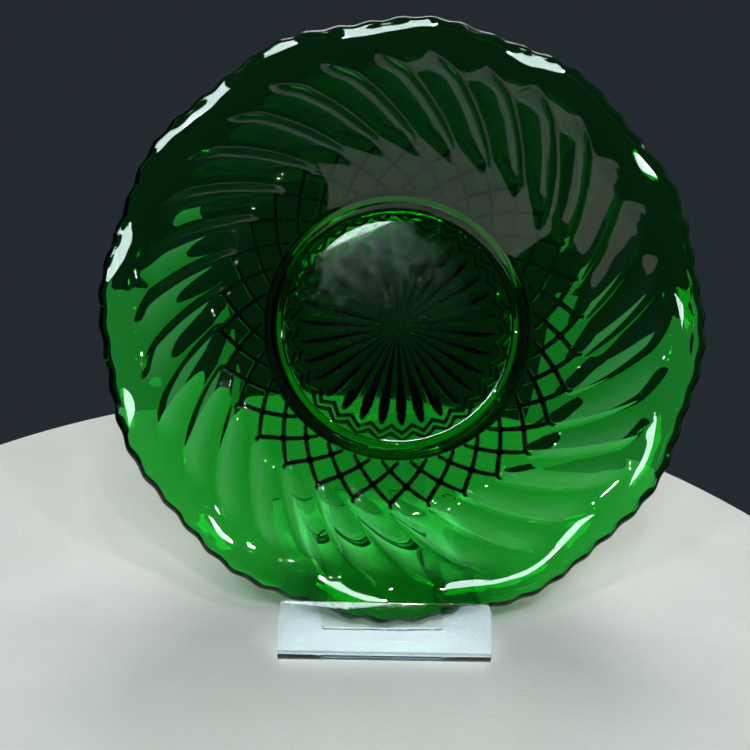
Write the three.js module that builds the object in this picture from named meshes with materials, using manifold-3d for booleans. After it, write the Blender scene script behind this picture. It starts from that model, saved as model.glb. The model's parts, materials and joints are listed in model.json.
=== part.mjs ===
// A swirled, diamond-cut pressed-glass bowl standing in the bent acrylic stand that shows it off.
// Millimetres, +Z up. The bowl opens towards -Y and leans back towards +Y; X runs along the stand.
import * as THREE from 'three';
import { mergeVertices } from 'three/addons/utils/BufferGeometryUtils.js';
import Module from 'manifold-3d';

// --- Driving dimensions -----------------------------------------------------------------------
// Bowl, in its own frame: axis along Z, foot on z = 0, opening upwards.
const RIM_RADIUS = 120;
const LIP_TOP = 54.2; // height of the smooth lip above the foot
const LIP_THICKNESS = 4.5;
const EDGE_ROUNDING = 2; // how far in from the edge its rounding starts
const WALL = 5.8;
const FOOT_OUTER = 58;
const FOOT_INNER = 53.4;
const FOOT_HEIGHT = 3;
const BASE_THICKNESS = 6.3;
const WELL_RADIUS = 56.5; // where the sunken well meets the wall
const WELL_EDGE_HEIGHT = 14.4;
const HATCH_TOP_RADIUS = 77.3; // end of the diamond band, start of the flutes
const HATCH_TOP_HEIGHT = 27.6;
const FLUTE_START = 72.5;
const FLUTE_END = 108.5;
const FLUTES = 30;
const FLUTE_DEPTH = 2.1;
const FLUTE_END_RAMP = 9; // length over which a flute runs out at either end
const FLUTE_SLOPE = 38; // degrees, the wall's slope along the flutes, which are scooped square to it
const FLUTE_PHASE = 4; // degrees, centre of a flute where it starts
const SWIRL = 26; // degrees that a flute turns between its two ends
const SCALLOP_HEIGHT = 0.45; // two small scallops to each flute, all round the edge
const WAVES = 12; // broad waves of the lip
const WAVE_PHASE = 27; // degrees, the crest of a wave
const WAVE_HEIGHT = 1.15;
const WAVE_REACH = 0.5; // how far a wave moves the edge outwards
const WAVE_START = 100; // radius inside which the bowl is even
const AROUND = 4 * FLUTES; // facets round the bowl

// Stand: one sheet, bent up at the front as a lip, with a tongue cut from its middle.
const SHEET = 3;
const STAND_WIDTH = 80;
const LEAN = 25; // degrees the bowl leans back
const STAND_ASIDE = -5.8; // middle of the stand from the bowl's axis, along X
const LIP_LEAN = 40; // degrees the front lip leans towards the bowl
const LIP_HEIGHT = 21;
const LIP_CORNER = 3; // rounding of the lip's two top corners, seen from the front
const FRONT_AHEAD = 20.8; // front of the stand ahead of the rim's lowest point
const BEND_RADIUS = 2.5; // inside of the front bend
const BEND_STEPS = 6; // facets round a bend
const TONGUE_WIDTH = 42;
const CUT_WIDTH = 1.2; // saw cut on each side of the tongue
const TONGUE_LENGTH = 58;
const TONGUE_BEND = 3;
const BASE_BEHIND = 36; // sheet left on the table behind the tongue
const CORNER = 4; // plan corners of the sheet
const WINDOW_CORNER = 1.5;
const GAP = 0.3; // clearance kept where bowl and stand touch

const rad = THREE.MathUtils.degToRad;
const lerp = THREE.MathUtils.lerp;
const smooth = THREE.MathUtils.smoothstep;
const clamp = THREE.MathUtils.clamp;

// --- Bowl -------------------------------------------------------------------------------------

/** The inside of the wall, from the well's edge up to the lip, as (radius, height). */
const wall = new THREE.SplineCurve([
  new THREE.Vector2(WELL_RADIUS + 2, WELL_EDGE_HEIGHT),
  new THREE.Vector2(HATCH_TOP_RADIUS, HATCH_TOP_HEIGHT),
  new THREE.Vector2(92, 39.4),
  new THREE.Vector2(103, LIP_TOP - 5.6),
  new THREE.Vector2(109, LIP_TOP - 2.7),
  new THREE.Vector2(114, LIP_TOP - 0.9),
  new THREE.Vector2(RIM_RADIUS - EDGE_ROUNDING, LIP_TOP),
]);

/** The underside of the wall: the inside moved outwards by the glass's thickness. */
function wallUnderside(steps) {
  const points = [];
  for (let i = 0; i <= steps; i += 1) {
    const tangent = wall.getTangent(i / steps);
    const thickness = lerp(WALL, LIP_THICKNESS, i / steps);
    const outwards = new THREE.Vector2(tangent.y, -tangent.x).multiplyScalar(thickness);
    points.push(wall.getPoint(i / steps).add(outwards));
  }
  return points;
}

/** The rounded edge of the lip, from its underside to its top. */
function roundedEdge(steps) {
  const points = [];
  for (let i = 1; i < steps; i += 1) {
    const angle = lerp(-Math.PI / 2, Math.PI / 2, i / steps);
    points.push(new THREE.Vector2(
      RIM_RADIUS - EDGE_ROUNDING * (1 - Math.cos(angle)),
      LIP_TOP - (LIP_THICKNESS / 2) * (1 - Math.sin(angle)),
    ));
  }
  return points;
}

/** The closed section as (radius, height), from the underside's centre out, up and back in. */
function bowlSection() {
  const floor = FOOT_HEIGHT + BASE_THICKNESS;
  const underside = wallUnderside(7);
  const foot = new THREE.Path();
  foot.moveTo(0, FOOT_HEIGHT);
  foot.lineTo(FOOT_INNER - 1.2, FOOT_HEIGHT);
  foot.lineTo(FOOT_INNER, 0.6);
  foot.lineTo(FOOT_INNER + 0.8, 0);
  foot.lineTo(FOOT_OUTER - 1, 0);
  foot.lineTo(FOOT_OUTER, 0.9);
  foot.lineTo(FOOT_OUTER + 1.4, 4.6);
  foot.quadraticCurveTo(FOOT_OUTER + 2, 7.4, underside[0].x, underside[0].y);

  const well = new THREE.Path();
  well.moveTo(WELL_RADIUS + 2, WELL_EDGE_HEIGHT);
  well.quadraticCurveTo(WELL_RADIUS + 0.2, WELL_EDGE_HEIGHT - 1, WELL_RADIUS - 1, WELL_EDGE_HEIGHT - 2.2);
  well.quadraticCurveTo(WELL_RADIUS - 3.6, floor, WELL_RADIUS - 6.6, floor);
  well.lineTo(0, floor);

  const edge = roundedEdge(6);
  const inside = wall.getPoints(13).reverse();
  const points = [];
  for (const p of [...foot.getPoints(2), ...underside, ...edge, ...inside, ...well.getPoints(2)]) {
    const last = points.at(-1);
    if (!last || last.distanceTo(p) > 0.05) points.push(p);
  }
  return points;
}

/** How far the flutes have turned, in radians, at a radius on the inside. */
function swirlAt(radius) {
  return rad(SWIRL) * clamp((radius - FLUTE_START) / (FLUTE_END - FLUTE_START), 0, 1);
}

/** Depth of the scooped flutes at a radius, for an angle measured from a flute's centre line. */
function fluteDepth(radius, fromCentre) {
  const across = (fromCentre * FLUTES) / Math.PI; // -1 and 1 on the two ridges
  const toStart = 1 - smooth(radius, FLUTE_START, FLUTE_START + FLUTE_END_RAMP);
  const toEnd = smooth(radius, FLUTE_END - FLUTE_END_RAMP, FLUTE_END);
  return FLUTE_DEPTH * Math.max(0, 1 - across * across - toStart - toEnd);
}

/** The bowl: a lathe turned from the section, twisted with the flutes, then scooped and waved. */
function makeBowl() {
  const section = bowlSection();
  const insideFrom = section.findIndex((p) => p.y === LIP_TOP);
  const flat = new THREE.LatheGeometry(section, AROUND);
  const position = flat.getAttribute('position');
  const rows = section.length;
  const ridgeStep = (2 * Math.PI) / FLUTES;
  const slope = rad(FLUTE_SLOPE);
  for (let i = 0; i < position.count; i += 1) {
    const row = i % rows;
    const turn = (Math.floor(i / rows) % AROUND) * ((2 * Math.PI) / AROUND);
    const inside = row >= insideFrom;
    const { x: radius, y: height } = section[row];
    const swirl = inside ? swirlAt(radius) : rad(SWIRL);
    const angle = turn + swirl + rad(FLUTE_PHASE);

    const fromCentre = turn - ridgeStep * Math.round(turn / ridgeStep);
    const scoop = inside ? fluteDepth(radius, fromCentre) : 0;

    const atLip = smooth(radius, WAVE_START, RIM_RADIUS - 2);
    const atEdge = smooth(radius, RIM_RADIUS - 6, RIM_RADIUS - 1);
    const wave = Math.cos(WAVES * (angle - rad(WAVE_PHASE)));
    const scallop = -Math.cos(2 * FLUTES * (turn - ridgeStep / 2));
    const out = radius + scoop * Math.sin(slope)
      + atLip * WAVE_REACH * wave + atEdge * SCALLOP_HEIGHT * scallop;
    const up = height - scoop * Math.cos(slope) + atLip * WAVE_HEIGHT * wave;
    position.setXYZ(i, out * Math.cos(angle), out * Math.sin(angle), up);
  }
  flat.deleteAttribute('normal');
  flat.deleteAttribute('uv');
  return mergeVertices(flat, 1e-3);
}

// --- Stand ------------------------------------------------------------------------------------

const wasm = await Module();
wasm.setup();

/** A closed geometry as a manifold-3d solid. */
function toSolid(geometry) {
  const bare = geometry.clone();
  bare.deleteAttribute('normal');
  bare.deleteAttribute('uv');
  const merged = mergeVertices(bare, 1e-4);
  const mesh = new wasm.Mesh({
    numProp: 3,
    vertProperties: new Float32Array(merged.getAttribute('position').array),
    triVerts: new Uint32Array(merged.getIndex().array),
  });
  return new wasm.Manifold(mesh);
}

/** A manifold-3d solid as a three.js geometry. */
function toGeometry(solid) {
  const mesh = solid.getMesh();
  const geometry = new THREE.BufferGeometry();
  geometry.setAttribute('position', new THREE.BufferAttribute(mesh.vertProperties, 3));
  geometry.setIndex(new THREE.BufferAttribute(mesh.triVerts, 1));
  return geometry;
}

/** Extrudes a side view, drawn as (y, z), along X and centres it on X = 0. */
function extrudeAlongX(shape, width) {
  const geometry = new THREE.ExtrudeGeometry(shape, { depth: width, bevelEnabled: false });
  geometry.rotateX(Math.PI / 2);
  geometry.rotateZ(Math.PI / 2);
  geometry.translate(-width / 2, 0, 0);
  return geometry;
}

/** Side view, in (y, z), of the sheet along a line of corner points, each corner bent to a radius. */
function bentSheet(line, bendRadius) {
  const half = SHEET / 2;
  const middleRadius = bendRadius + half;
  const centre = [];
  for (let i = 0; i < line.length; i += 1) {
    const here = line[i];
    if (i === 0 || i === line.length - 1) {
      centre.push(here.clone());
      continue;
    }
    const back = line[i - 1].clone().sub(here).normalize();
    const ahead = line[i + 1].clone().sub(here).normalize();
    const halfAngle = Math.acos(clamp(back.dot(ahead), -1, 1)) / 2;
    const reach = middleRadius / Math.tan(halfAngle);
    const hubDistance = middleRadius / Math.sin(halfAngle);
    const hub = back.clone().add(ahead).normalize().multiplyScalar(hubDistance).add(here);
    const from = back.clone().multiplyScalar(reach).add(here).sub(hub);
    const to = ahead.clone().multiplyScalar(reach).add(here).sub(hub);
    const sweep = Math.atan2(from.cross(to), from.dot(to));
    for (let k = 0; k <= BEND_STEPS; k += 1) {
      centre.push(from.clone().rotateAround(new THREE.Vector2(), (sweep * k) / BEND_STEPS).add(hub));
    }
  }
  const left = [];
  const right = [];
  centre.forEach((p, i) => {
    const before = centre[Math.max(i - 1, 0)];
    const after = centre[Math.min(i + 1, centre.length - 1)];
    const along = after.clone().sub(before).normalize();
    const side = new THREE.Vector2(-along.y, along.x).multiplyScalar(half);
    left.push(p.clone().add(side));
    right.push(p.clone().sub(side));
  });
  return new THREE.Shape([...left, ...right.reverse()]);
}

/** Upright block from z0 to z1 with rounded corners in plan, to trim and pierce the stand with. */
function roundedBlock(x0, x1, y0, y1, radius, z0, z1) {
  const plan = new THREE.Shape();
  plan.moveTo(x0 + radius, y0);
  plan.lineTo(x1 - radius, y0);
  plan.absarc(x1 - radius, y0 + radius, radius, -Math.PI / 2, 0);
  plan.lineTo(x1, y1 - radius);
  plan.absarc(x1 - radius, y1 - radius, radius, 0, Math.PI / 2);
  plan.lineTo(x0 + radius, y1);
  plan.absarc(x0 + radius, y1 - radius, radius, Math.PI / 2, Math.PI);
  plan.lineTo(x0, y0 + radius);
  plan.absarc(x0 + radius, y0 + radius, radius, Math.PI, 1.5 * Math.PI);
  const block = new THREE.ExtrudeGeometry(plan, { depth: z1 - z0, bevelEnabled: false, curveSegments: 5 });
  block.translate(0, 0, z0);
  return block;
}

/** The stand, with the rim's lowest point at y = 0. footPoint lies on the bowl's foot plane. */
function makeStand(footPoint) {
  const lean = rad(LEAN);
  const up = new THREE.Vector2(Math.sin(lean), Math.cos(lean)); // along the tongue, in (y, z)
  const back = new THREE.Vector2(Math.cos(lean), -Math.sin(lean)); // away from the bowl
  const tongueMiddle = footPoint.clone().add(back.clone().multiplyScalar(GAP + SHEET / 2));
  const root = tongueMiddle.clone().sub(
    up.clone().multiplyScalar((tongueMiddle.y - SHEET / 2) / up.y),
  );
  const rear = root.x + BASE_BEHIND;

  const lipLean = rad(LIP_LEAN);
  const bendReach = (BEND_RADIUS + SHEET / 2) / Math.tan((Math.PI / 2 - lipLean) / 2);
  const lipFoot = new THREE.Vector2(BEND_RADIUS + SHEET - FRONT_AHEAD - bendReach, SHEET / 2);
  const rise = LIP_HEIGHT - (SHEET / 2) * (1 + Math.sin(lipLean));
  const lipTip = new THREE.Vector2(lipFoot.x + rise * Math.tan(lipLean), lipFoot.y + rise);
  const baseLine = [lipTip, lipFoot, new THREE.Vector2(rear, SHEET / 2)];
  const tongueTip = root.clone().add(up.clone().multiplyScalar(TONGUE_LENGTH));
  const tongueLine = [tongueTip, root, new THREE.Vector2(rear - CORNER, SHEET / 2)];

  const base = toSolid(extrudeAlongX(bentSheet(baseLine, BEND_RADIUS), STAND_WIDTH));
  const tongue = toSolid(extrudeAlongX(bentSheet(tongueLine, TONGUE_BEND), TONGUE_WIDTH));
  const windowHalf = TONGUE_WIDTH / 2 + CUT_WIDTH;
  const windowFront = root.x - TONGUE_LENGTH - TONGUE_BEND;
  const windowRear = root.x + TONGUE_BEND;
  const cut = toSolid(
    roundedBlock(-windowHalf, windowHalf, windowFront, windowRear, WINDOW_CORNER, -SHEET, 2 * SHEET),
  );
  const side = STAND_WIDTH / 2;
  const plan = toSolid(
    roundedBlock(-side, side, -2 * FRONT_AHEAD, rear, CORNER, -SHEET, 2 * LIP_HEIGHT),
  );
  const front = roundedBlock(
    -side, side, -LIP_HEIGHT, LIP_HEIGHT, LIP_CORNER, -2 * STAND_WIDTH, 2 * STAND_WIDTH,
  );
  front.rotateX(Math.PI / 2);
  const sheet = base.subtract(cut).intersect(plan).intersect(toSolid(front));
  return toGeometry(sheet.add(tongue).translate([STAND_ASIDE, 0, 0]));
}

// --- Assembly ---------------------------------------------------------------------------------

const bowl = new THREE.Mesh(
  makeBowl(),
  new THREE.MeshStandardMaterial({ color: 0x0a5a1e, roughness: 0.04, metalness: 0 }),
);
bowl.name = 'glass_bowl';
bowl.rotation.x = rad(90 - LEAN);
const underRim = new THREE.Vector3(0, -RIM_RADIUS, LIP_TOP - 2.2).applyEuler(bowl.rotation);
const lowest = new THREE.Box3().setFromObject(bowl, true).min.z;
bowl.position.set(0, -underRim.y, SHEET + GAP - lowest);

const stand = new THREE.Mesh(
  makeStand(new THREE.Vector2(bowl.position.y, bowl.position.z)),
  new THREE.MeshStandardMaterial({ color: 0xdfe8ea, roughness: 0.06, metalness: 0 }),
);
stand.name = 'display_stand';

const assembly = new THREE.Group();
assembly.add(bowl, stand);
const extent = new THREE.Box3().setFromObject(assembly, true);
assembly.position.set(
  -lerp(extent.min.x, extent.max.x, 0.5),
  -lerp(extent.min.y, extent.max.y, 0.5),
  -extent.min.z,
);

const group = new THREE.Group();
group.add(assembly);
export default group;
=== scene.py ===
"""A swirled, diamond-cut pressed-glass bowl leaning in its bent acrylic stand, on a pale table.

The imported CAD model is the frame. The bowl's glass is made again here with its pressed pattern
(flutes, diamonds and star), and the stand's sheet with softened edges. Metres, +Z up.
"""

import json
import math

import bmesh
import bpy
import numpy as np
from mathutils import Matrix, Quaternion, Vector, noise


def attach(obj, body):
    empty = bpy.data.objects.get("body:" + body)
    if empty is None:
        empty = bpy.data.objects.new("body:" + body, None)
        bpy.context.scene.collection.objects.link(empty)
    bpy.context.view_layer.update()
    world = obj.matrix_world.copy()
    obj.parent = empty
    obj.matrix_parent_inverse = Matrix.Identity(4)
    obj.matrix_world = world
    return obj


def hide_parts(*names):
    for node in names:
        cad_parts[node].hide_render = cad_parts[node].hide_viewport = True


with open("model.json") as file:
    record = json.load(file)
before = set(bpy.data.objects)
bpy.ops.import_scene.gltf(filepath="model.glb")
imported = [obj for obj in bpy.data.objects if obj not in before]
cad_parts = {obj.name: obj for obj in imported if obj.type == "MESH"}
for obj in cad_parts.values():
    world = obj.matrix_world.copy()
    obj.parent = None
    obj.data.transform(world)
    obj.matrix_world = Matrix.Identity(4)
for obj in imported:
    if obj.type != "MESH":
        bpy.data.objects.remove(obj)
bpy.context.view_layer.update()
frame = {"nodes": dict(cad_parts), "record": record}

MM = 0.001

# --- Bowl: millimetres in its own frame, axis along Z, foot on z = 0, opening upwards -----------
RIM_RADIUS = 120
LIP_TOP = 54.2
LIP_THICKNESS = 4.5
EDGE_ROUNDING = 2
WALL = 5.8
FOOT_HEIGHT = 3
FLOOR = 9.3  # height of the well's floor
WELL_RADIUS = 56.5
WELL_EDGE_HEIGHT = 14.4
HATCH_TOP = (77.3, 27.6)
FLUTES = 30
FLUTE_START = 72.5
FLUTE_END = 108.5
FLUTE_DEPTH = 2.1
FLUTE_END_RAMP = 9
FLUTE_SKEW = 0.4  # how far a flute is deeper on one side than on the other
FLUTE_SLOPE = 38  # degrees, the wall's slope along the flutes, which are scooped square to it
PHASE = 4  # degrees, where the pattern starts
SWIRL = 26  # degrees that a flute turns
UNDER_TWIST = 24  # turn of the columns under the well, a whole number of flutes
SCALLOP_HEIGHT = 0.45
WAVES = 12
WAVE_PHASE = 27
WAVE_HEIGHT = 1.35
WAVE_REACH = 0.5
WAVE_START = 97
RIPPLE = 0.05  # unevenness of the pressed surface
RIPPLE_LENGTH = 11

PER_FLUTE = 16  # mesh columns to a flute
AROUND = PER_FLUTE * FLUTES
HALF = PER_FLUTE // 2

DIAMOND_TOP = 78.4  # radius on the outside where the diamond band starts
DIAMOND_BOTTOM = 62.2
DIAMOND_STEP = 6.45  # radius from one row of crossings to the next
DIAMOND_CUT = 0.6  # depth of the grooves between diamonds

ZIGZAG_OUTER = 51.8
ZIGZAG_STEP = 3.5  # height of a tooth
ZIGZAG_CUT = 0.6
RAY_TIP = 44.8
RAY_WIDEST = 36
RAY_START = 4
RAY_DEPTH = 1.5
RAY_SHARE = 0.62  # widest part of a ray against the space that it has


def catmull_rom(t, p0, p1, p2, p3):
    """Point on the smooth curve from p1 to p2, at t from 0 to 1."""
    v0 = (p2 - p0) / 2
    v1 = (p3 - p1) / 2
    return (2 * p1 - 2 * p2 + v0 + v1) * t**3 + (3 * p2 - 3 * p1 - 2 * v0 - v1) * t**2 + v0 * t + p1


WALL_POINTS = [
    np.array(p, float)
    for p in (
        (WELL_RADIUS + 2, WELL_EDGE_HEIGHT),
        HATCH_TOP,
        (92, 39.4),
        (103, LIP_TOP - 5.6),
        (109, LIP_TOP - 2.1),
        (114, LIP_TOP - 0.55),
        (RIM_RADIUS - EDGE_ROUNDING, LIP_TOP),
    )
]


def wall_inside(t):
    """(radius, height) on the inside of the wall, t from 0 at the well to 1 at the lip."""
    spans = len(WALL_POINTS) - 1
    place = min(max(t, 0), 1) * spans
    i = min(int(place), spans - 1)
    near = [WALL_POINTS[min(max(k, 0), spans)] for k in (i - 1, i, i + 1, i + 2)]
    return catmull_rom(place - i, *near)


def wall_underside(t):
    """(radius, height) under the same point, through the thickness of the glass."""
    step = 1e-4
    tangent = wall_inside(t + step) - wall_inside(t - step)
    tangent /= np.linalg.norm(tangent)
    thickness = WALL + (LIP_THICKNESS - WALL) * t
    return wall_inside(t) + np.array((tangent[1], -tangent[0])) * thickness


def curve_through(start, control, end, steps):
    """Points after start on a quadratic curve."""
    start, control, end = (np.array(p, float) for p in (start, control, end))
    out = []
    for i in range(1, steps + 1):
        t = i / steps
        out.append((1 - t) ** 2 * start + 2 * t * (1 - t) * control + t**2 * end)
    return out


def smoothstep(x, low, high):
    """0 below low, 1 above high, and smooth between."""
    t = np.clip((x - low) / (high - low), 0, 1)
    return t * t * (3 - 2 * t)


def inside_rows():
    """Section of the inside, from the middle of the floor up to the lip."""
    rows = [np.array((r, FLOOR), float) for r in (6, 16, 28, 40, 47, WELL_RADIUS - 6.6)]
    foot = (WELL_RADIUS - 1, WELL_EDGE_HEIGHT - 2.2)
    rows += curve_through(rows[-1], (WELL_RADIUS - 3.6, FLOOR), foot, 8)
    top = (WELL_RADIUS + 2, WELL_EDGE_HEIGHT)
    rows += curve_through(foot, (WELL_RADIUS + 0.2, WELL_EDGE_HEIGHT - 1), top, 4)
    steps = 56
    rows += [wall_inside(i / steps) for i in range(1, steps + 1)]
    return rows


def edge_rows():
    """The rounded edge, from the top of the lip to its underside."""
    steps = 10
    rows = []
    for i in range(1, steps):
        angle = math.pi / 2 - math.pi * i / steps
        out = RIM_RADIUS - EDGE_ROUNDING * (1 - math.cos(angle))
        rows.append(np.array((out, LIP_TOP - LIP_THICKNESS / 2 * (1 - math.sin(angle)))))
    return rows


def under_heights(radii):
    """Height of the wall's underside at each radius."""
    table = np.array([wall_underside(t) for t in np.linspace(0, 1, 400)])
    return np.interp(radii, table[:, 0], table[:, 1])


def under_rows():
    """Section under the wall, from the lip in to the top of the diamonds."""
    radii = np.linspace(wall_underside(1)[0], DIAMOND_TOP, 18)[:-1]
    return list(np.stack((radii, under_heights(radii)), 1))


def diamond_rows():
    """Section down the band of diamonds, with HALF rows from one line of crossings to the next."""
    radii = np.arange(DIAMOND_TOP, DIAMOND_BOTTOM, -DIAMOND_STEP / HALF)
    return list(np.stack((radii, under_heights(radii)), 1))


def foot_rows():
    """The foot ring, from the diamonds' lower end round to the recess inside it."""
    top = wall_underside(0)
    rows = [top]
    rows += curve_through(top, (60, 7.4), (59.4, 4.6), 4)
    rows += curve_through((59.4, 4.6), (58.5, 0.6), (57.2, 0.08), 5)
    rows += [np.array(p, float) for p in ((56.6, 0), (54.8, 0))]
    rows += curve_through((54.8, 0), (53.6, 0), (53.3, 0.9), 3)
    rows += curve_through((53.3, 0.9), (53.1, 3), (52.4, FOOT_HEIGHT), 3)
    return rows


def star_rows():
    """The recessed base: the zigzags' rows, then the rays' rows in to near the middle."""
    step = ZIGZAG_STEP / HALF
    zigzag = [ZIGZAG_OUTER - step * k for k in range(2 * HALF + 1)]
    below = [zigzag[-1] - step, zigzag[-1] - 2 * step]
    rays = list(np.linspace(below[-1] - 0.8, RAY_START, 26))
    return [np.array((r, FOOT_HEIGHT), float) for r in (*zigzag, *below, *rays)]


def flute_scoop(radius, across):
    """Depth of a flute, a blade with one steep side; across is -1 and 1 on the two ridges."""
    to_start = 1 - smoothstep(radius, FLUTE_START, FLUTE_START + FLUTE_END_RAMP)
    to_end = smoothstep(radius, FLUTE_END - FLUTE_END_RAMP, FLUTE_END)
    leaning = across + FLUTE_SKEW * (1 - across**2)
    return FLUTE_DEPTH * np.maximum(0, 1 - leaning**2 - to_start - to_end)


def diamond_cut(row, column):
    """Depth of the crossing grooves at a row of the band."""
    falling = abs((column - row + HALF) % PER_FLUTE - HALF)
    rising = abs((column + row + HALF) % PER_FLUTE - HALF)
    return DIAMOND_CUT * np.maximum(0, 1 - np.minimum(falling, rising))


def zigzag_cut(row, column):
    """Depth of the two zigzag grooves round the star, whose teeth point outwards at the rays."""
    line = abs(column % PER_FLUTE - HALF)
    off = np.minimum(abs(row - line), abs(row - line - HALF))
    return ZIGZAG_CUT * np.maximum(0, 1 - off / 2)


def ray_cut(radius, column):
    """Depth of the star's rays: V cuts that widen outwards and end in a point."""
    from_middle = abs(column % PER_FLUTE - HALF) * 2 * math.pi / AROUND * radius
    room = 2 * math.pi * RAY_WIDEST / FLUTES
    widening = (radius - RAY_START) / (RAY_WIDEST - RAY_START)
    closing = np.sqrt(np.clip((RAY_TIP - radius) / (RAY_TIP - RAY_WIDEST), 0, 1))
    half_width = RAY_SHARE * room / 2 * np.where(radius < RAY_WIDEST, widening, closing)
    return RAY_DEPTH * np.maximum(0, half_width - from_middle) / (RAY_SHARE * room / 2)


def bowl_points():
    """Every vertex row of the bowl as (row points, is it cut, diagonal rule), inside then outside."""
    column = np.arange(AROUND)
    turn = column * 2 * math.pi / AROUND
    ridge = 2 * math.pi / FLUTES
    across = (turn - ridge * np.round(turn / ridge)) / (ridge / 2)
    slope = math.radians(FLUTE_SLOPE)
    rows = []

    def add(radius, height, twist, scoop=0.0, cut=None, diagonal=None, side=1):
        angle = turn + math.radians(twist + PHASE)
        at_lip = smoothstep(radius, WAVE_START, RIM_RADIUS - 2)
        at_edge = smoothstep(radius, RIM_RADIUS - 6, RIM_RADIUS - 1)
        wave = np.cos(WAVES * (angle - math.radians(WAVE_PHASE)))
        scallop = -np.cos(2 * FLUTES * (turn - ridge / 2))
        out = radius + scoop * math.sin(slope)
        out = out + at_lip * WAVE_REACH * wave + at_edge * SCALLOP_HEIGHT * scallop
        up = height - scoop * math.cos(slope) + at_lip * WAVE_HEIGHT * wave
        up = up + (0 if cut is None else cut)
        points = np.stack((out * np.cos(angle), out * np.sin(angle), up + 0 * turn), 1)
        quiet = smoothstep(radius, WELL_RADIUS, HATCH_TOP[0]) * (1 - at_edge)
        if quiet > 0:
            for p in points:
                bump = noise.noise(Vector(p) / RIPPLE_LENGTH + Vector((0, 0, 7 * side)))
                p[2] += RIPPLE * quiet * bump
        rows.append((points, None if cut is None else cut > 0, diagonal))

    for radius, height in inside_rows():
        share = np.clip((radius - FLUTE_START) / (FLUTE_END - FLUTE_START), 0, 1)
        add(radius, height, SWIRL * share, flute_scoop(radius, across))
    for radius, height in edge_rows():
        add(radius, height, SWIRL)
    for radius, height in under_rows():
        share = float(smoothstep(-radius, -FLUTE_END, -DIAMOND_TOP - 4))
        add(radius, height, SWIRL + (UNDER_TWIST - SWIRL) * share, side=-1)
    for k, (radius, height) in enumerate(diamond_rows()):
        rising = abs((column + k + 1 + HALF) % PER_FLUTE - HALF)
        falling = abs((column - k + HALF) % PER_FLUTE - HALF)
        add(radius, height, UNDER_TWIST, cut=diamond_cut(k, column), diagonal=falling <= rising, side=-1)
    for radius, height in foot_rows():
        add(radius, height, UNDER_TWIST)
    for k, (radius, height) in enumerate(star_rows()):
        cut = zigzag_cut(k, column) if k <= 2 * HALF + 2 else 0 * column
        cut = np.maximum(cut, ray_cut(radius, column))
        add(radius, height, UNDER_TWIST, cut=cut, diagonal=column % PER_FLUTE >= HALF)
    return rows


def bowl_mesh():
    """The whole glass bowl as one closed mesh in its own frame, in millimetres."""
    rows = bowl_points()
    count = len(rows)
    points = np.concatenate([r[0] for r in rows] + [[(0, 0, FLOOR), (0, 0, FOOT_HEIGHT)]])
    floor_middle = count * AROUND
    base_middle = floor_middle + 1
    faces = []
    flat = []
    for i in range(count - 1):
        cut_here, cut_next = rows[i][1], rows[i + 1][1]
        diagonal = rows[i][2]
        for c in range(AROUND):
            n = (c + 1) % AROUND
            a, b = i * AROUND + c, i * AROUND + n
            d, e = a + AROUND, b + AROUND
            falling = True if diagonal is None else diagonal[c]
            faces += [(a, b, e), (a, e, d)] if falling else [(a, b, d), (b, e, d)]
            is_cut = any(
                cut is not None and (cut[c] or cut[n]) for cut in (cut_here, cut_next)
            )
            flat += [is_cut, is_cut]
    last = (count - 1) * AROUND
    for c in range(AROUND):
        n = (c + 1) % AROUND
        faces += [(floor_middle, n, c), (last + c, last + n, base_middle)]
        flat += [False, False]
    mesh = bpy.data.meshes.new("glass_bowl_pressed")
    mesh.from_pydata(points.tolist(), [], faces)
    mesh.polygons.foreach_set("use_smooth", [not f for f in flat])
    mesh.update()
    return mesh


def bowl_place():
    """Matrix from the bowl's own frame, in millimetres, to the row frame, from its floor's mount."""
    mounts = {m["name"]: m for m in frame["record"]["mounts"]}
    floor = mounts["bowl_well_floor"]
    axis = Vector(floor["axis"]).normalized()
    across = Vector((1, 0, 0))
    foot = Vector(floor["pos_m"]) - axis * FLOOR * MM
    turn = Matrix((across, axis.cross(across), axis)).transposed().to_4x4()
    return Matrix.Translation(foot) @ turn @ Matrix.Scale(MM, 4)


def make_bowl(material):
    """The glass bowl, in its place on the stand."""
    mesh = bowl_mesh()
    mesh.transform(bowl_place())
    bowl = bpy.data.objects.new("pressed_glass_bowl", mesh)
    bpy.context.scene.collection.objects.link(bowl)
    tidy = bmesh.new()
    tidy.from_mesh(mesh)
    bmesh.ops.recalc_face_normals(tidy, faces=tidy.faces)
    tidy.to_mesh(mesh)
    tidy.free()
    mesh.materials.append(material)
    return bowl


# --- Stand --------------------------------------------------------------------------------------
STAND_EDGE = 0.0003  # polished edge of the sheet


def make_stand(material):
    """The stand's own sheet, with its saw-cut edges softened as polished acrylic has them."""
    mesh = frame["nodes"]["display_stand"].data.copy()
    mesh.materials.clear()
    sheet = bmesh.new()
    sheet.from_mesh(mesh)
    bmesh.ops.remove_doubles(sheet, verts=sheet.verts, dist=1e-6)
    bmesh.ops.dissolve_limit(
        sheet, angle_limit=math.radians(0.5), verts=sheet.verts, edges=sheet.edges
    )
    corner = math.radians(40)
    sharp = [e for e in sheet.edges if len(e.link_faces) == 2 and e.calc_face_angle(0) > corner]
    bmesh.ops.bevel(
        sheet, geom=sharp, offset=STAND_EDGE, segments=2, profile=0.5, affect="EDGES", clamp_overlap=True
    )
    sheet.to_mesh(mesh)
    sheet.free()
    mesh.polygons.foreach_set("use_smooth", [True] * len(mesh.polygons))
    mesh.set_sharp_from_angle(angle=math.radians(32))
    stand = bpy.data.objects.new("acrylic_stand", mesh)
    bpy.context.scene.collection.objects.link(stand)
    mesh.materials.append(material)
    return stand


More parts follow.
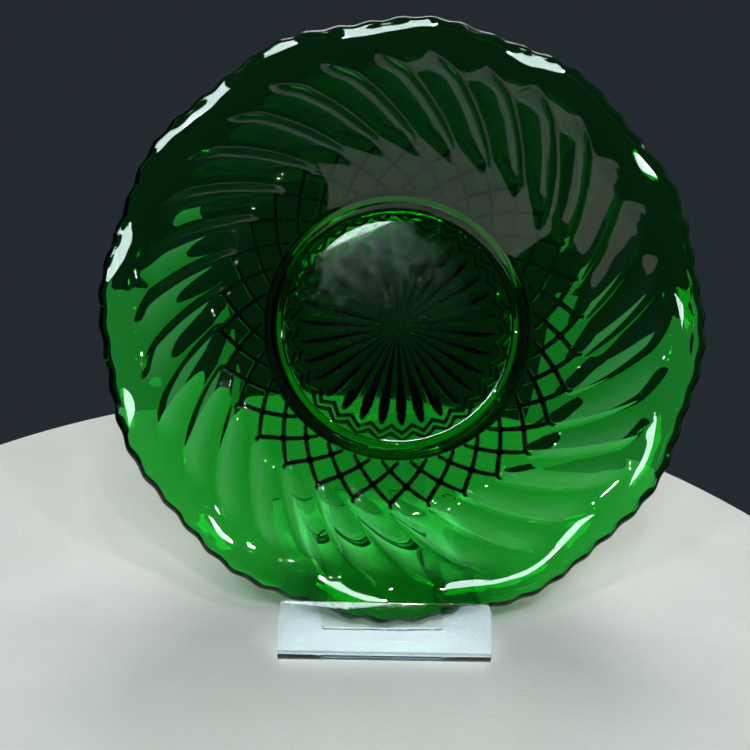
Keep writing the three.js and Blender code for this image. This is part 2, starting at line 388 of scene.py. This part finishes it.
# --- Materials ----------------------------------------------------------------------------------
GLASS_REFRACTION = 1.52
GLASS_TINT = (0.0, 0.84, 0.2, 1)
GLASS_DENSITY = 700  # of the tint, per metre
ACRYLIC_REFRACTION = 1.49
ACRYLIC_TINT = (0.4, 0.6, 0.74, 1)
ACRYLIC_DENSITY = 75
WORN_INSIDE = 0.030  # distance from the middle of the well up to which it is fully worn
WORN_OUTSIDE = 0.052
TABLE_DARK = (0.66, 0.66, 0.64, 1)
TABLE_LIGHT = (0.8, 0.8, 0.79, 1)


def new_material(name):
    """A material with its nodes, their links and its main shader."""
    material = bpy.data.materials.new(name)
    material.use_nodes = True
    nodes = material.node_tree.nodes
    shader = nodes["Principled BSDF"]
    return material, nodes, material.node_tree.links, shader


def clear_material(name, refraction):
    """A see-through material that refracts, with no colour of its own."""
    material, nodes, links, shader = new_material(name)
    shader.inputs["Base Color"].default_value = (1, 1, 1, 1)
    shader.inputs["Transmission Weight"].default_value = 1
    shader.inputs["IOR"].default_value = refraction
    return material, nodes, links, shader


def object_place(nodes):
    """Coordinates that ride with the object."""
    return nodes.new("ShaderNodeTexCoord").outputs["Object"]


def noise_value(nodes, links, place, scale, detail, stretch=(1, 1, 1), turn=0.0):
    """A noise texture over the object, stretched along its axes."""
    mapping = nodes.new("ShaderNodeMapping")
    mapping.inputs["Scale"].default_value = stretch
    mapping.inputs["Rotation"].default_value = (0.0, turn, 0.0)
    texture = nodes.new("ShaderNodeTexNoise")
    texture.inputs["Scale"].default_value = scale
    texture.inputs["Detail"].default_value = detail
    links.new(place, mapping.inputs["Vector"])
    links.new(mapping.outputs[0], texture.inputs["Vector"])
    return texture.outputs["Fac"]


def spread(nodes, links, value, low, high, out_low, out_high):
    """value from low..high taken smoothly to out_low..out_high, held beyond both ends."""
    scaled = nodes.new("ShaderNodeMapRange")
    scaled.interpolation_type = "SMOOTHSTEP"
    for name, number in zip(("From Min", "From Max", "To Min", "To Max"), (low, high, out_low, out_high)):
        scaled.inputs[name].default_value = number
    links.new(value, scaled.inputs["Value"])
    return scaled.outputs["Result"]


def maths(nodes, links, kind, a, b):
    """a and b put together; b may be a plain number."""
    node = nodes.new("ShaderNodeMath")
    node.operation = kind
    links.new(a, node.inputs[0])
    if isinstance(b, float):
        node.inputs[1].default_value = b
    else:
        links.new(b, node.inputs[1])
    return node.outputs[0]


def hairlines(nodes, links, place, turns, scale, stretch):
    """Fine straight scratches that run a few ways across a face, 1 on a scratch."""
    total = None
    for turn in turns:
        lines = noise_value(nodes, links, place, scale, 1.0, (stretch, stretch, 1.0), turn)
        line = spread(nodes, links, lines, 0.62, 0.72, 0.0, 1.0)
        total = line if total is None else maths(nodes, links, "MAXIMUM", total, line)
    return total


def add_bump(nodes, links, shader, height, distance):
    """Fine relief: height from 0 to 1 stands for 0 to distance, in metres."""
    bump = nodes.new("ShaderNodeBump")
    bump.inputs["Strength"].default_value = 1
    bump.inputs["Distance"].default_value = distance
    links.new(height, bump.inputs["Height"])
    links.new(bump.outputs[0], shader.inputs["Normal"])


def add_absorption(nodes, links, colour, density):
    """Tints clear material through its thickness."""
    absorb = nodes.new("ShaderNodeVolumeAbsorption")
    absorb.inputs["Color"].default_value = colour
    absorb.inputs["Density"].default_value = density
    links.new(absorb.outputs[0], nodes["Material Output"].inputs["Volume"])


def green_glass():
    """Fire-polished green glass, hazed and scratched by use on the floor of its well."""
    material, nodes, links, shader = clear_material("green_pressed_glass", GLASS_REFRACTION)
    place = object_place(nodes)
    from_floor = nodes.new("ShaderNodeVectorMath")
    from_floor.operation = "DISTANCE"
    from_floor.inputs[1].default_value = bowl_place() @ Vector((0, 0, FLOOR))
    links.new(place, from_floor.inputs[0])
    worn = spread(nodes, links, from_floor.outputs["Value"], WORN_INSIDE, WORN_OUTSIDE, 1.0, 0.0)

    patches = noise_value(nodes, links, place, 45.0, 3.0)
    haze = maths(nodes, links, "MULTIPLY", spread(nodes, links, patches, 0.45, 0.75, 0.0, 0.02), worn)
    scratches = hairlines(nodes, links, place, (0.3, 1.2, 2.2, 2.8), 60.0, 28.0)
    scratches = maths(nodes, links, "MULTIPLY", scratches, worn)
    film = spread(nodes, links, noise_value(nodes, links, place, 18.0, 4.0), 0.3, 0.8, 0.006, 0.02)
    dull = maths(nodes, links, "ADD", film, haze)
    rough = maths(nodes, links, "ADD", dull, maths(nodes, links, "MULTIPLY", scratches, 0.12))
    links.new(rough, shader.inputs["Roughness"])

    skin = noise_value(nodes, links, place, 120.0, 2.0)
    height = maths(nodes, links, "SUBTRACT", maths(nodes, links, "MULTIPLY", skin, 0.5), scratches)
    add_bump(nodes, links, shader, height, 0.00001)
    add_absorption(nodes, links, GLASS_TINT, GLASS_DENSITY)
    return material


def clear_acrylic():
    """Cast sheet, very slightly blue, with handling scratches and dust."""
    material, nodes, links, shader = clear_material("clear_acrylic_sheet", ACRYLIC_REFRACTION)
    place = object_place(nodes)
    scratches = hairlines(nodes, links, place, (0.5, 1.4, 2.5), 50.0, 22.0)
    smears = spread(nodes, links, noise_value(nodes, links, place, 60.0, 4.0), 0.35, 0.75, 0.01, 0.04)
    rough = maths(nodes, links, "ADD", smears, maths(nodes, links, "MULTIPLY", scratches, 0.1))
    links.new(rough, shader.inputs["Roughness"])
    wavy = noise_value(nodes, links, place, 35.0, 1.0)
    height = maths(nodes, links, "SUBTRACT", wavy, maths(nodes, links, "MULTIPLY", scratches, 0.4))
    add_bump(nodes, links, shader, height, 0.00002)
    add_absorption(nodes, links, ACRYLIC_TINT, ACRYLIC_DENSITY)
    return material


def table_cloth():
    """Pale woven table top with a little unevenness of colour."""
    material, nodes, links, shader = new_material("pale_table")
    place = object_place(nodes)
    weave = noise_value(nodes, links, place, 900.0, 2.0)
    shade = nodes.new("ShaderNodeValToRGB")
    shade.color_ramp.elements[0].color = TABLE_DARK
    shade.color_ramp.elements[1].color = TABLE_LIGHT
    links.new(noise_value(nodes, links, place, 25.0, 5.0), shade.inputs["Fac"])
    links.new(shade.outputs["Color"], shader.inputs["Base Color"])
    shader.inputs["Roughness"].default_value = 0.85
    add_bump(nodes, links, shader, weave, 0.0003)
    return material


# --- Table, light and camera --------------------------------------------------------------------
TABLE_RADIUS = 0.246
TABLE_MIDDLE = (-0.031, -0.085)
TABLE_THICKNESS = 0.02
TABLE_GAP = 0.0004  # air under the stand's sheet


def make_table():
    """Plain round pale table top."""
    bpy.ops.mesh.primitive_cylinder_add(
        vertices=128,
        radius=TABLE_RADIUS,
        depth=TABLE_THICKNESS,
        location=(*TABLE_MIDDLE, -TABLE_GAP - TABLE_THICKNESS / 2),
    )
    table = bpy.context.object
    table.name = "table"
    table.data.materials.append(table_cloth())


ROOM_COLOUR = (0.018, 0.024, 0.03, 1)


def make_world():
    """A dark room, shown with plain tones so that the glass keeps its saturated green."""
    world = bpy.data.worlds.new("dark_room")
    bpy.context.scene.world = world
    world.use_nodes = True
    background = world.node_tree.nodes["Background"]
    background.inputs["Color"].default_value = ROOM_COLOUR
    bpy.context.scene.view_settings.view_transform = "Standard"


CAMERA_LENS = 40.8  # mm, on a sensor CAMERA_SENSOR wide
CAMERA_SENSOR = 36
CAMERA_DISTANCE = 0.3366  # from the rim's centre
CAMERA_LEFT = 4.7  # degrees off the bowl's axis
CAMERA_BELOW = 4.3
CAMERA_ROLL = 3.0
RIM_RIGHT = 2.156  # degrees by which the rim's centre lies off the camera's own axis
RIM_ABOVE = 3.769


def rim_frame():
    """Centre of the rim's plane, and the bowl's axis, sideways and upwards directions."""
    place = bowl_place()
    centre = place @ Vector((0, 0, LIP_TOP))
    turn = place.to_3x3()
    side, up, axis = ((turn @ Vector(v)).normalized() for v in ((1, 0, 0), (0, 1, 0), (0, 0, 1)))
    return centre, axis, side, up


def make_camera():
    """The photograph's view: a little left of the bowl's axis and below it, tipped to the right."""
    data = bpy.data.cameras.new("camera")
    data.lens = CAMERA_LENS
    data.sensor_width = CAMERA_SENSOR
    camera = bpy.data.objects.new("camera", data)
    bpy.context.scene.collection.objects.link(camera)
    bpy.context.scene.camera = camera
    centre, axis, side, up = rim_frame()
    to_camera = axis - math.tan(math.radians(CAMERA_LEFT)) * side
    to_camera -= math.tan(math.radians(CAMERA_BELOW)) * up
    to_camera.normalize()
    camera.location = centre + to_camera * CAMERA_DISTANCE
    roll = Matrix.Rotation(math.radians(CAMERA_ROLL), 4, "Z")
    look = (-to_camera).to_track_quat("-Z", "Y").to_matrix().to_4x4()
    rim_way = Vector((math.tan(math.radians(RIM_RIGHT)), math.tan(math.radians(RIM_ABOVE)), -1))
    # turned until the ray at those two angles meets the rim's centre
    upright = roll @ rim_way.normalized()
    for _ in range(20):
        ray = look @ upright
        look = ray.rotation_difference(-to_camera).to_matrix().to_4x4() @ look
        back = look.to_3x3() @ Vector((0, 0, 1))
        look = (-back).to_track_quat("-Z", "Y").to_matrix().to_4x4()
    camera.matrix_world = Matrix.Translation(camera.location) @ look @ roll


def area_light(name, place, target, size, power, colour, turn=0):
    """A rectangular lamp or lit card at a place, facing a target."""
    data = bpy.data.lights.new(name, "AREA")
    data.shape = "RECTANGLE"
    data.size, data.size_y = size
    data.energy = power
    data.color = colour
    light = bpy.data.objects.new(name, data)
    bpy.context.scene.collection.objects.link(light)
    light.location = place
    aim = (Vector(target) - Vector(place)).to_track_quat("-Z", "Y")
    light.rotation_euler = (aim @ Quaternion((0, 0, 1), math.radians(turn))).to_euler()
    return light


KEY_DISTANCE = 0.6
KEY_WAY = (-0.066, 0.308)  # sideways and upwards from the bowl's axis
KEY_TURN = 28  # degrees that the softbox is turned about its own axis
KEY_SIZE = (0.2, 0.105)
KEY_POWER = 1.15  # watts
KEY_COLOUR = (0.78, 1.0, 0.96)
GLINT_WAYS = ((0.11, 0.34), (-0.5, 0.45), (0.45, 0.6), (0.75, 0.15), (-0.8, 0.1), (0.1, 0.9))
GLINT_SIZE = (0.018, 0.018)
GLINT_POWER = 0.35
WHITE = (1, 1, 1)

# name, place, target, size, watts and colour
TABLE_FILL = ("top_fill", (0.1, 0.8, 1.15), (0, -0.1, 0), (0.9, 0.6), 12.5, (1, 0.97, 0.95))
CARDS = (
    ("front_card", (-0.33, -0.5, -0.002), (-0.33, -0.5, 1), (0.55, 0.5), 0.8, (0.9, 0.88, 0.8)),
    ("left_card", (-0.19, 0.45, -0.14), (0, 0, 0.1), (0.14, 0.2), 0.024, WHITE),
    ("right_card", (0.24, 0.45, -0.14), (0, 0, 0.1), (0.14, 0.2), 0.024, WHITE),
    ("high_card", (-0.1, 0.6, 0.45), (0, 0, 0.1), (0.9, 0.25), 0.12, WHITE),
)


def make_lights():
    """A small softbox over the camera, small lamps for sparkle, and wide dim fills round the bowl.

    Only the glass shows the cards: one on the floor in front, whose reflection lies in the
    flutes, and three behind, which the star, the diamonds and the flutes refract.
    """
    _, axis, side, up = rim_frame()
    floor = bowl_place() @ Vector((0, 0, FLOOR))

    def along(way):
        return floor + (axis + way[0] * side + way[1] * up) * KEY_DISTANCE

    area_light("key_softbox", along(KEY_WAY), floor, KEY_SIZE, KEY_POWER, KEY_COLOUR, KEY_TURN)
    for i, way in enumerate(GLINT_WAYS):
        area_light(f"glint_lamp_{i}", along(way), floor, GLINT_SIZE, GLINT_POWER, WHITE)
    area_light(*TABLE_FILL)
    for card in CARDS:
        area_light(*card).visible_camera = False


make_world()
make_table()
bowl = make_bowl(green_glass())
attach(bowl, "bowl")
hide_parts("glass_bowl")
stand = make_stand(clear_acrylic())
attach(stand, "stand")
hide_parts("display_stand")
stand.visible_shadow = False  # clear sheet lets the light through to the table under it
make_camera()
make_lights()
